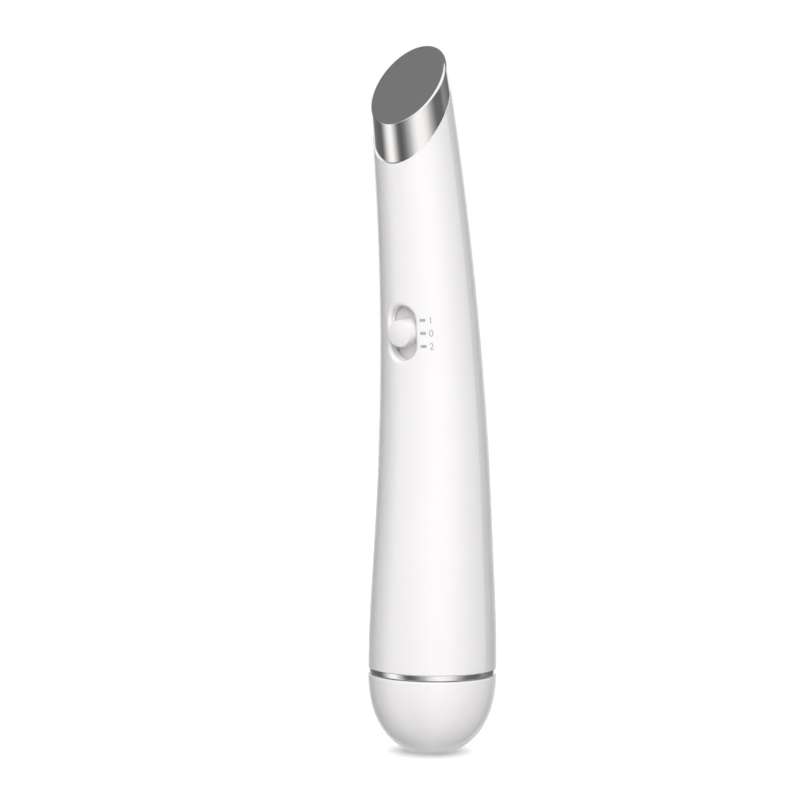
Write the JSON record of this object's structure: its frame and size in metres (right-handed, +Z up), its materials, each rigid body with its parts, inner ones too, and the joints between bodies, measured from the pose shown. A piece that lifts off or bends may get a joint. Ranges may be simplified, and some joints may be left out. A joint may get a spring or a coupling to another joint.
{
  "type": "heated eye massager wand",
  "caption": "Slim bowed white wand with a slanted chrome heated massage head, a slide switch on the front, a vibration motor and a pull-off base cap over its battery.",
  "frame": {"origin": "middle of the small flat foot under the base cap, in the plane of the surface the wand stands on", "axes": "+Z up along the straight lower part of the handle, -Y is the front with the slide switch, towards which the neck bows, +X is the side with the marks beside the switch"},
  "size_m": [0.025, 0.0282, 0.1366],
  "materials": {
    "gloss_white": "injection-moulded ABS, polished, gloss white",
    "knob_white": "moulded ABS, satin gloss white",
    "polished_chrome": "bright chrome plate",
    "heatproof_plastic": "heat-proof PBT, off-white",
    "silicone_pad": "soft grey silicone",
    "ceramic": "white alumina heater, matt",
    "black_epoxy": "black moulding compound",
    "nickel_steel": "nickel-plated steel",
    "bronze": "sintered bronze",
    "black_plastic": "black nylon",
    "black_rubber": "black silicone rubber",
    "natural_abs": "plain ABS, unpolished",
    "tungsten_alloy": "sintered metal weight",
    "board_green": "glass-epoxy board, green solder mask",
    "tinned_brass": "tin-plated brass",
    "shutter_grey": "light grey moulded nylon",
    "cell_sleeve": "printed shrink sleeve on steel, plain",
    "white_insulation": "white wire insulation",
    "blue_insulation": "blue wire insulation",
    "red_insulation": "red wire insulation"
  },
  "bodies": {
    "handle": {"front_shell": "gloss_white", "rear_shell": "gloss_white", "massage_head": "polished_chrome", "thermal_pad": "silicone_pad", "heater_plate": "ceramic", "head_collar": "heatproof_plastic", "thermistor": "black_epoxy", "motor_can": "nickel_steel", "motor_bush": "bronze", "motor_end_cap": "black_plastic", "motor_boot": "black_rubber", "motor_holder": "natural_abs", "circuit_board": "board_green", "switch_base": "black_plastic", "switch_terminals": "tinned_brass", "switch_can": "nickel_steel", "driver_chip": "black_epoxy", "boost_coil": "black_epoxy", "capacitor": "cell_sleeve", "resistors": "black_epoxy", "board_screws": "nickel_steel", "inner_frame": "natural_abs", "battery_tube": "natural_abs", "positive_contact": "nickel_steel", "contact_strip": "nickel_steel", "o_ring": "black_rubber", "trim_ring": "polished_chrome", "heater_leads": "white_insulation", "motor_leads": "blue_insulation", "battery_leads": "red_insulation"},
    "slider": {"switch_knob": "knob_white", "shutter_plate": "shutter_grey", "switch_actuator": "black_plastic"},
    "rotor": {"motor_rotor": "nickel_steel", "eccentric_weight": "tungsten_alloy"},
    "cap": {"base_cap": "gloss_white", "cap_liner": "natural_abs", "spring_plate": "nickel_steel", "negative_spring": "nickel_steel"},
    "cell": {"battery": "cell_sleeve"}
  },
  "joints": [
    {"name": "switch_slide", "type": "slide", "parent": "handle", "child": "slider", "axis": [0, -0.1001, 0.995], "range_m": [-0.0025, 0.0025]},
    {"name": "rotor_spin", "type": "hinge", "parent": "handle", "child": "rotor", "pos_m": [0, -0.00468, 0.10376], "axis": [0, -0.1555, 0.9878], "continuous": true},
    {"name": "cap_pull", "type": "slide", "parent": "handle", "child": "cap", "axis": [0, 0, -1], "range_m": [0, 0.11]},
    {"name": "battery_slide", "type": "slide", "parent": "handle", "child": "cell", "axis": [0, 0, -1], "range_m": [0, 0.0495]}
  ],
  "couplings": [
    {"joint": "battery_slide", "follows": "cap_pull", "ratio": 0.45}
  ]
}
